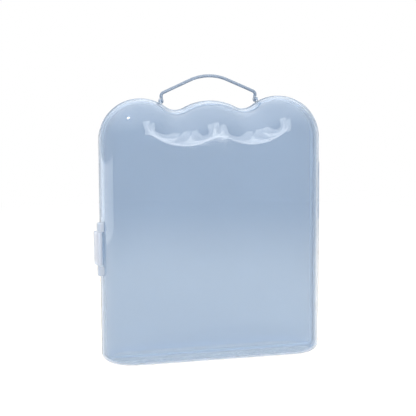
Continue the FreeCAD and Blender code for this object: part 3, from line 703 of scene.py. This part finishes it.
class CASE_OT_handle(bpy.types.Operator):
    """Bail handle: a round rod bent over the valleys, with a flat eye at each foot"""

    bl_idname = "case.handle"
    bl_label = "Handle"

    def execute(self, context):
        sizes = context.scene.case_sizes
        handle = bare_object("bail_handle", self.rod(sizes))
        combine(handle, self.eyes(sizes), "UNION")
        bore_pair(handle, foot_inner(sizes), sizes.foot_wall, PAST, sizes)
        dress(handle, "bail", "handle", clear_rod())
        return {"FINISHED"}

    def rod(self, sizes):
        """One leg, its bend, the slope and half the crown, then the mirror image of all that."""
        bm = bmesh.new()
        leg_x = HANDLE_HIGH.x - sizes.rod_radius
        foot = Vector((leg_x, PIVOT.y, PIVOT.z + FOOT_RADIUS + sizes.leg_play))
        bend_start = foot + Vector((0, 0, sizes.handle_leg))
        top = HANDLE_HIGH.z - sizes.rod_radius
        slope = slope_angle(leg_x, top - bend_start.z, sizes.handle_crown, sizes.handle_bend)
        bend_turn = QUARTER_TURN - slope
        bend_centre = bend_start - Vector((sizes.handle_bend, 0, 0))
        bend_reach = sizes.handle_bend * math.tan(bend_turn / 2)
        along = Vector((-math.cos(slope), 0, math.sin(slope)))
        bend_end = bend_start + Vector((0, 0, bend_reach)) + along * bend_reach
        crown_radius = sizes.handle_crown / math.sin(slope)
        crown_centre = Vector((0, PIVOT.y, top - crown_radius))
        crown_z = top - crown_radius + crown_radius * math.cos(slope)
        crown_start = Vector((sizes.handle_crown, PIVOT.y, crown_z))

        at_foot = Matrix.Translation(foot)
        bmesh.ops.create_circle(bm, segments=ROD_SIDES, radius=sizes.rod_radius, matrix=at_foot)
        ring = self.straight(bm, bm.edges[:], bend_start - foot)
        ring = self.bend(bm, ring, bend_centre, bend_turn, BEND_STEPS)
        ring = self.straight(bm, ring, crown_start - bend_end)
        self.bend(bm, ring, crown_centre, slope, ARCH_STEPS)
        mirror_x(bm, merge=WELD)
        bmesh.ops.holes_fill(bm, edges=[edge for edge in bm.edges if edge.is_boundary])
        face_outward(bm)
        soften(bm, square_edges(bm), sizes.rod_round, PIN_SOFT_STEPS)
        return bm

    def straight(self, bm, ring, move):
        """Draws the rod on from a ring and gives back the ring at its end."""
        old = set(ends_of(ring))
        grown = bmesh.ops.extrude_edge_only(bm, edges=ring)["geom"]
        bmesh.ops.translate(bm, verts=only(grown, BMVert), vec=move)
        return [edge for edge in only(grown, BMEdge) if not any(vert in old for vert in edge.verts)]

    def bend(self, bm, ring, centre, turn, steps):
        """Bends the rod on from a ring and gives back the ring at its end."""
        swept = bmesh.ops.spin(
            bm, geom=ends_of(ring) + ring, cent=centre, axis=BACK, angle=-turn, steps=steps
        )
        return only(swept["geom_last"], BMEdge)

    def eyes(self, sizes):
        """Flat eyes that run up into the rod on a narrower neck."""
        bm = bmesh.new()
        x = foot_inner(sizes)
        half = sizes.foot_neck / 2
        gap = 2 * math.asin(half / FOOT_RADIUS)
        shoulder = math.sqrt(FOOT_RADIUS**2 - half**2)
        neck_top = PIVOT.z + FOOT_RADIUS + sizes.leg_play + sizes.foot_overlap
        start = bm.verts.new((x, PIVOT.y - half, PIVOT.z + shoulder))
        end = sweep(bm, start, (x, PIVOT.y, PIVOT.z), RIGHT, FULL_TURN - gap, BARREL_STEPS)
        end = run(bm, end, (x, PIVOT.y + half, neck_top))
        end = run(bm, end, (x, PIVOT.y - half, neck_top))
        bm.edges.new((end, start))
        raise_face(bm, fill(bm, bm.edges[:]), (sizes.foot_wall, 0, 0))
        face_outward(bm)
        rims = [edge for edge in square_edges(bm) if lies_at(edge, X, edge.verts[0].co.x)]
        soften(bm, rims, sizes.edge_round)
        mirror_x(bm)
        return bm


class CASE_OT_latch(bpy.types.Operator):
    """Milky latch flap: a bowed plate on a barrel, with a hook inside"""

    bl_idname = "case.latch"
    bl_label = "Latch"

    def execute(self, context):
        sizes = context.scene.case_sizes
        flap = bare_object("latch_flap", self.plate(sizes))
        combine(flap, self.barrel_and_hook(sizes), "UNION")
        radius = bore_radius(LATCH_PIN_LOW, LATCH_PIN_HIGH, sizes)
        bore_upright(flap, LATCH, TONGUE_LOW.z, TONGUE_HIGH.z, radius)
        dress(flap, "latch", "latch_tongue", milky_latch())
        return {"FINISHED"}

    def plate(self, sizes):
        """Flat plate with a round end and soft edges, bent about an upright axis."""
        bm = bmesh.new()
        corner = sizes.tongue_corner
        foot = bm.verts.new((0, LATCH.y, TONGUE_LOW.z))
        end = run(bm, foot, (0, TONGUE_HIGH.y - corner, TONGUE_LOW.z))
        end = sweep(bm, end, end.co + Vector((0, 0, corner)), RIGHT, QUARTER_TURN, CORNER_STEPS)
        end = run(bm, end, (0, TONGUE_HIGH.y, TONGUE_HIGH.z - corner))
        end = sweep(bm, end, end.co - Vector((0, corner, 0)), RIGHT, QUARTER_TURN, CORNER_STEPS)
        end = run(bm, end, (0, LATCH.y, TONGUE_HIGH.z))
        bm.edges.new((end, foot))
        raise_face(bm, fill(bm, bm.edges[:]), (sizes.tongue_wall, 0, 0))
        face_outward(bm)
        for depth, width in [(0, sizes.tongue_end), (sizes.tongue_wall, sizes.edge_round)]:
            rim = [edge for edge in square_edges(bm) if lies_at(edge, X, depth)]
            free = [edge for edge in rim if any(vert.co.y > LATCH.y + NEAR for vert in edge.verts)]
            soften(bm, free, width, PLATE_SOFT_STEPS)
        self.bow(bm, sizes)
        return bm

    def bow(self, bm, sizes):
        """Divides the flat plate and bends it about an upright axis inside the case."""
        reach = (TONGUE_HIGH.y - LATCH.y) / 2
        middle = LATCH.y + reach
        for step in range(1, BOW_STEPS):
            cut = (0, LATCH.y + 2 * reach * step / BOW_STEPS, 0)
            bmesh.ops.bisect_plane(bm, geom=everything(bm), dist=NEAR, plane_co=cut, plane_no=BACK)
        for vert in bm.verts:
            drawn = math.sqrt((sizes.tongue_bow - vert.co.x) ** 2 - (vert.co.y - middle) ** 2)
            vert.co.x = TONGUE_LOW.x + sizes.tongue_bow - drawn

    def barrel_and_hook(self, sizes):
        """Barrel round the pin, and the hook that snaps behind the catch."""
        bm = bmesh.new()
        foot = on_axis(LATCH, TONGUE_LOW.z + sizes.edge_round)
        top = on_axis(LATCH, TONGUE_HIGH.z - sizes.edge_round)
        round_bar(bm, foot, top, LATCH_RADIUS)
        tip = REAR_LOW.x + sizes.hook_bite
        rooted = TONGUE_LOW.x + sizes.hook_root
        first = sizes.catch_offset + sizes.catch_width + sizes.hook_play
        last = first + sizes.hook_width
        low = LATCH.z - sizes.catch_length / 2
        corners = [(tip, first, low), (tip, last, low), (rooted, last, low), (rooted, first, low)]
        raise_face(bm, polygon(bm, corners), (0, 0, sizes.catch_length))
        face_outward(bm)
        soften(bm, square_edges(bm), sizes.edge_round)
        return bm


class CASE_OT_pins(bpy.types.Operator):
    """Hinge pin, latch pin and the two handle rivets"""

    bl_idname = "case.pins"
    bl_label = "Pins and Rivets"

    def execute(self, context):
        sizes = context.scene.case_sizes
        for name, node, body in [("hinge_rod", "hinge_pin", "rear"), ("latch_rod", "latch_pin", "lid")]:
            pin = bare_object(name, self.pin(sizes, *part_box(node)))
            dress(pin, body, node, pin_plastic())
        for name, node in [("left_rivet", "handle_rivet_left"), ("right_rivet", "handle_rivet_right")]:
            rivet = bare_object(name, self.rivet(sizes, *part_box(node)))
            dress(rivet, "rear", node, pin_plastic())
        return {"FINISHED"}

    def pin(self, sizes, low, high):
        """Upright rod with softened ends."""
        bm = bmesh.new()
        middle = (low + high) / 2
        round_bar(bm, on_axis(middle, low.z), on_axis(middle, high.z), (high.x - low.x) / 2)
        soften(bm, square_edges(bm), sizes.edge_round, PIN_SOFT_STEPS)
        return bm

    def rivet(self, sizes, low, high):
        """Shank with a soft-edged head at each end, turned about X."""
        bm = bmesh.new()
        head = (high.z - low.z) / 2
        steps = [
            (low.x, head),
            (low.x + sizes.rivet_head, head),
            (low.x + sizes.rivet_head, sizes.rivet_radius),
            (high.x - sizes.rivet_head, sizes.rivet_radius),
            (high.x - sizes.rivet_head, head),
            (high.x, head),
        ]
        end = bm.verts.new(PIVOT + Vector((low.x, 0, 0)))
        for x, radius in steps:
            end = run(bm, end, PIVOT + Vector((x, 0, radius)))
        run(bm, end, PIVOT + Vector((high.x, 0, 0)))
        profile = bm.verts[:] + bm.edges[:]
        bmesh.ops.spin(
            bm, geom=profile, cent=PIVOT, axis=RIGHT, angle=FULL_TURN, steps=ROD_SIDES, use_merge=True
        )
        bmesh.ops.remove_doubles(bm, verts=bm.verts, dist=NEAR)
        face_outward(bm)
        soften(bm, square_edges(bm), sizes.rivet_round)
        return bm


# Materials
def new_material(name):
    material = bpy.data.materials.new(name)
    material.use_nodes = True
    material.node_tree.nodes.clear()
    return material, material.node_tree


def place_node(tree, kind, inputs=None, **settings):
    """Adds a shader node with its settings and the values of its inputs."""
    made = tree.nodes.new(kind)
    for name, value in settings.items():
        setattr(made, name, value)
    for socket, value in (inputs or {}).items():
        made.inputs[socket].default_value = value
    return made


def place_range(tree, start, end, **settings):
    """Adds a node that maps a range of values to 0 to 1."""
    return place_node(tree, "ShaderNodeMapRange", {"From Min": start, "From Max": end}, **settings)


def moulded_finish():
    """Shader group: slow flow clouds and fine rubbing marks of a moulded plastic."""
    if "moulded_finish" in bpy.data.node_groups:
        return bpy.data.node_groups["moulded_finish"]
    group = bpy.data.node_groups.new("moulded_finish", "ShaderNodeTree")
    sockets = [
        ("Deep", "INPUT", "NodeSocketColor"),
        ("Pale", "INPUT", "NodeSocketColor"),
        ("Gloss", "INPUT", "NodeSocketFloat"),
        ("Rubbed", "INPUT", "NodeSocketFloat"),
        ("Color", "OUTPUT", "NodeSocketColor"),
        ("Roughness", "OUTPUT", "NodeSocketFloat"),
        ("Height", "OUTPUT", "NodeSocketFloat"),
    ]
    for label, side, kind in sockets:
        group.interface.new_socket(label, in_out=side, socket_type=kind)
    link = group.links.new
    given = place_node(group, "NodeGroupInput")
    out = place_node(group, "NodeGroupOutput")
    place = place_node(group, "ShaderNodeTexCoord")

    flow = place_node(group, "ShaderNodeTexNoise", {"Scale": FLOW_SCALE, "Detail": FLOW_DETAIL})
    link(place.outputs["Object"], flow.inputs["Vector"])
    colour = place_node(group, "ShaderNodeMix", data_type="RGBA")
    link(flow.outputs["Fac"], colour.inputs["Factor"])
    link(given.outputs["Deep"], colour.inputs["A"])
    link(given.outputs["Pale"], colour.inputs["B"])
    link(colour.outputs["Result"], out.inputs["Color"])

    stretched = place_node(group, "ShaderNodeMapping", {"Scale": MARK_STRETCH})
    link(place.outputs["Object"], stretched.inputs["Vector"])
    marks = place_node(group, "ShaderNodeTexNoise", {"Scale": MARK_SCALE, "Detail": MARK_DETAIL})
    link(stretched.outputs["Vector"], marks.inputs["Vector"])
    rub = place_range(group, *MARK_LEVELS)
    link(marks.outputs["Fac"], rub.inputs["Value"])
    link(given.outputs["Gloss"], rub.inputs["To Min"])
    link(given.outputs["Rubbed"], rub.inputs["To Max"])
    link(rub.outputs["Result"], out.inputs["Roughness"])
    link(flow.outputs["Fac"], out.inputs["Height"])
    return group


def clear_plastic(name, colour, roughness, clarity, bending=PLASTIC_BENDING):
    """Moulded plastic with the shared finish, whose shadow lets the light through."""
    if name in bpy.data.materials:
        return bpy.data.materials[name]
    material, tree = new_material(name)
    link = tree.links.new
    finish = place_node(tree, "ShaderNodeGroup", node_tree=moulded_finish())
    finish.inputs["Deep"].default_value = (*[part * (1 - CLOUDING) for part in colour], 1)
    finish.inputs["Pale"].default_value = (*[min(1, part * (1 + CLOUDING)) for part in colour], 1)
    finish.inputs["Gloss"].default_value = roughness
    finish.inputs["Rubbed"].default_value = roughness * RUBBED_ROUGHER
    relief = place_node(tree, "ShaderNodeBump", {"Strength": RELIEF, "Distance": RELIEF_DEPTH})
    link(finish.outputs["Height"], relief.inputs["Height"])
    levels = {
        "Transmission Weight": clarity,
        "IOR": bending,
        "Sheen Weight": SHEEN,
        "Sheen Roughness": SHEEN_ROUGHNESS,
    }
    shader = place_node(tree, "ShaderNodeBsdfPrincipled", levels)
    link(finish.outputs["Color"], shader.inputs["Base Color"])
    link(finish.outputs["Roughness"], shader.inputs["Roughness"])
    link(relief.outputs["Normal"], shader.inputs["Normal"])

    half = place_node(tree, "ShaderNodeGamma", {"Gamma": SHADOW_GAMMA})
    link(finish.outputs["Color"], half.inputs["Color"])
    passing = place_node(tree, "ShaderNodeBsdfTransparent")
    link(half.outputs["Color"], passing.inputs["Color"])
    path = place_node(tree, "ShaderNodeLightPath")
    mix = place_node(tree, "ShaderNodeMixShader")
    link(path.outputs["Is Shadow Ray"], mix.inputs["Fac"])
    link(shader.outputs["BSDF"], mix.inputs[1])
    link(passing.outputs["BSDF"], mix.inputs[2])
    out = place_node(tree, "ShaderNodeOutputMaterial")
    link(mix.outputs["Shader"], out.inputs["Surface"])
    return material


def clear_shell():
    look = bpy.context.scene.case_finish
    return clear_plastic("clear_shell_plastic", look.shell_tint, look.shell_roughness, look.shell_clarity)


# Rough pale plastic of the lip; its pale colour is a painted highlight, light caught along the lip's edges
def painted_highlight_lip():
    look = bpy.context.scene.case_finish
    return clear_plastic(
        "painted_highlight_lip_plastic", look.lip_highlight_tint, look.rim_roughness, look.rim_clarity, PAINTED_HIGHLIGHT_BENDING
    )


def clear_rod():
    look = bpy.context.scene.case_finish
    return clear_plastic("clear_rod_plastic", look.rod_tint, look.rod_roughness, look.rod_clarity)


def pin_plastic():
    look = bpy.context.scene.case_finish
    return clear_plastic("pin_plastic", look.pin_tint, look.rod_roughness, look.pin_clarity)


def milky_latch():
    look = bpy.context.scene.case_finish
    return clear_plastic("milky_latch_plastic", look.latch_tint, look.latch_roughness, look.latch_clarity)


# Stage
def seen_by_eye(tree):
    """One where a camera, glossy or transmission ray looks, else zero."""
    link = tree.links.new
    path = place_node(tree, "ShaderNodeLightPath")
    first = place_node(tree, "ShaderNodeMath", operation="MAXIMUM")
    link(path.outputs["Is Camera Ray"], first.inputs[0])
    link(path.outputs["Is Transmission Ray"], first.inputs[1])
    second = place_node(tree, "ShaderNodeMath", operation="MAXIMUM")
    link(first.outputs["Value"], second.inputs[0])
    link(path.outputs["Is Glossy Ray"], second.inputs[1])
    return second.outputs["Value"]


def toward(azimuth, elevation):
    """Direction from the case, in degrees round it from the front and above the floor."""
    turn, lift = math.radians(azimuth), math.radians(elevation)
    return Vector((math.sin(turn) * math.cos(lift), -math.cos(turn) * math.cos(lift), math.sin(lift)))


class CASE_OT_stage(bpy.types.Operator):
    """Pale floor, soft light and the camera"""

    bl_idname = "case.stage"
    bl_label = "Stage"

    def execute(self, context):
        scene = context.scene
        scene.view_settings.view_transform = "Standard"
        bm = bmesh.new()
        bmesh.ops.create_circle(bm, cap_ends=True, segments=FLOOR_SIDES, radius=FLOOR_RADIUS)
        floor = bare_object("floor", bm)
        floor.data.materials.append(self.pale_floor())
        self.white_world(scene)
        for name, lamp in LAMPS.items():
            self.softbox(name, **lamp)
        for name, card in CARDS.items():
            self.card(name, **card)
        self.camera(scene)
        return {"FINISHED"}

    def pale_floor(self):
        """Matt near the case, where it takes the shadow, and white further off."""
        material, tree = new_material("pale_floor")
        link = tree.links.new
        seen = seen_by_eye(tree)
        matt = place_node(tree, "ShaderNodeBsdfDiffuse", {"Color": FLOOR_COLOUR})
        level = place_node(tree, "ShaderNodeMath", {1: FLOOR_GLOW_LEVEL}, operation="MULTIPLY")
        link(seen, level.inputs[0])
        glow = place_node(tree, "ShaderNodeEmission", {"Color": FLOOR_GLOW})
        link(level.outputs["Value"], glow.inputs["Strength"])
        near = place_node(tree, "ShaderNodeAddShader")
        link(matt.outputs["BSDF"], near.inputs[0])
        link(glow.outputs["Emission"], near.inputs[1])
        white = place_node(tree, "ShaderNodeEmission", {"Color": WHITE})

        place = place_node(tree, "ShaderNodeTexCoord")
        distance = place_node(tree, "ShaderNodeVectorMath", operation="LENGTH")
        link(place.outputs["Object"], distance.inputs[0])
        fade = place_range(tree, *FLOOR_FADE, interpolation_type="SMOOTHSTEP")
        link(distance.outputs["Value"], fade.inputs["Value"])
        far = place_node(tree, "ShaderNodeMath", operation="MULTIPLY")
        link(fade.outputs["Result"], far.inputs[0])
        link(seen, far.inputs[1])
        mix = place_node(tree, "ShaderNodeMixShader")
        link(far.outputs["Value"], mix.inputs["Fac"])
        link(near.outputs["Shader"], mix.inputs[1])
        link(white.outputs["Emission"], mix.inputs[2])
        out = place_node(tree, "ShaderNodeOutputMaterial")
        link(mix.outputs["Shader"], out.inputs["Surface"])
        return material

    def white_world(self, scene):
        """White at the level of the eye and brighter overhead."""
        scene.world = bpy.data.worlds.new("white_studio")
        scene.world.use_nodes = True
        tree = scene.world.node_tree
        tree.nodes.clear()
        link = tree.links.new
        place = place_node(tree, "ShaderNodeTexCoord")
        parts = place_node(tree, "ShaderNodeSeparateXYZ")
        link(place.outputs["Generated"], parts.inputs["Vector"])
        overhead = place_range(tree, *OVERHEAD, interpolation_type="SMOOTHSTEP")
        link(parts.outputs["Z"], overhead.inputs["Value"])
        strength = place_node(tree, "ShaderNodeMix")
        link(seen_by_eye(tree), strength.inputs["Factor"])
        for socket, (horizon, zenith) in [("A", WORLD_LIT), ("B", WORLD_SEEN)]:
            level = place_node(tree, "ShaderNodeMapRange", {"To Min": horizon, "To Max": zenith})
            link(overhead.outputs["Result"], level.inputs["Value"])
            link(level.outputs["Result"], strength.inputs[socket])
        sky = place_node(tree, "ShaderNodeBackground", {"Color": WHITE})
        link(strength.outputs["Result"], sky.inputs["Strength"])
        out = place_node(tree, "ShaderNodeOutputWorld")
        link(sky.outputs["Background"], out.inputs["Surface"])

    def softbox(self, name, azimuth, elevation, distance, wide, high, level, roll=0):
        """Rectangular lamp, placed by the angles at which the case's upper edge sees it."""
        data = bpy.data.lights.new(name, "AREA")
        data.shape = "RECTANGLE"
        data.size = wide
        data.size_y = high
        data.energy = WATTS_PER_LEVEL * level * wide * high
        way = toward(azimuth, elevation)
        lamp = bpy.data.objects.new(name, data)
        lamp.location = Vector((0, LID_LOW.y, PIVOT.z - EDGE_BELOW_PIVOT)) + way * distance
        lamp.rotation_mode = "QUATERNION"
        lamp.rotation_quaternion = way.to_track_quat("Z", "Y") @ Quaternion(UP, math.radians(roll))
        lamp.visible_camera = False
        lamp.visible_transmission = False
        bpy.context.scene.collection.objects.link(lamp)

    def card(self, name, azimuth, elevation, distance, wide, high):
        """Dim card that gives the clear edges something darker to mirror."""
        way = toward(azimuth, elevation)
        bm = bmesh.new()
        bmesh.ops.create_grid(bm, x_segments=1, y_segments=1, size=1)
        bmesh.ops.scale(bm, vec=(wide / 2, high / 2, 1), verts=bm.verts)
        turned = way.to_track_quat("Z", "Y").to_matrix().to_4x4()
        stands = Matrix.Translation(Vector((0, 0, PIVOT.z / 2)) + way * distance)
        bmesh.ops.transform(bm, matrix=stands @ turned, verts=bm.verts)
        card = bare_object(name, bm)
        material, tree = new_material(name)
        dim = place_node(tree, "ShaderNodeEmission", {"Color": CARD_COLOUR})
        out = place_node(tree, "ShaderNodeOutputMaterial")
        tree.links.new(dim.outputs["Emission"], out.inputs["Surface"])
        card.data.materials.append(material)
        card.visible_camera = False
        card.visible_transmission = False
        card.visible_shadow = False

    def camera(self, scene):
        data = bpy.data.cameras.new("camera")
        data.lens = CAMERA_LENS
        data.sensor_width = CAMERA_SENSOR
        camera = bpy.data.objects.new("camera", data)
        camera.location = CAMERA_PLACE
        camera.rotation_mode = "QUATERNION"
        look = Vector(CAMERA_LOOK).to_track_quat("-Z", "Y")
        camera.rotation_quaternion = look @ Quaternion(UP, CAMERA_ROLL)
        scene.collection.objects.link(camera)
        scene.camera = camera


class CASE_PT_sidebar(bpy.types.Panel):
    """Lists the steps that dress the case"""

    bl_idname = "CASE_PT_sidebar"
    bl_label = "Storage Case"
    bl_space_type = "VIEW_3D"
    bl_region_type = "UI"
    bl_category = "Case"

    def draw(self, context):
        for step in STEPS:
            self.layout.operator(step.bl_idname)


STEPS = (
    CASE_OT_rear_shell,
    CASE_OT_front_shell,
    CASE_OT_handle,
    CASE_OT_latch,
    CASE_OT_pins,
    CASE_OT_stage,
)
CLASSES = (CaseSizes, CaseFinish, *STEPS, CASE_PT_sidebar)


def register():
    for item in CLASSES:
        bpy.utils.register_class(item)
    bpy.types.Scene.case_sizes = PointerProperty(type=CaseSizes)
    bpy.types.Scene.case_finish = PointerProperty(type=CaseFinish)


def unregister():
    del bpy.types.Scene.case_finish
    del bpy.types.Scene.case_sizes
    for item in reversed(CLASSES):
        bpy.utils.unregister_class(item)


def main():
    register()
    bpy.ops.case.rear_shell()
    bpy.ops.case.front_shell()
    bpy.ops.case.handle()
    bpy.ops.case.latch()
    bpy.ops.case.pins()
    bpy.ops.case.stage()


if __name__ == "__main__":
    main()
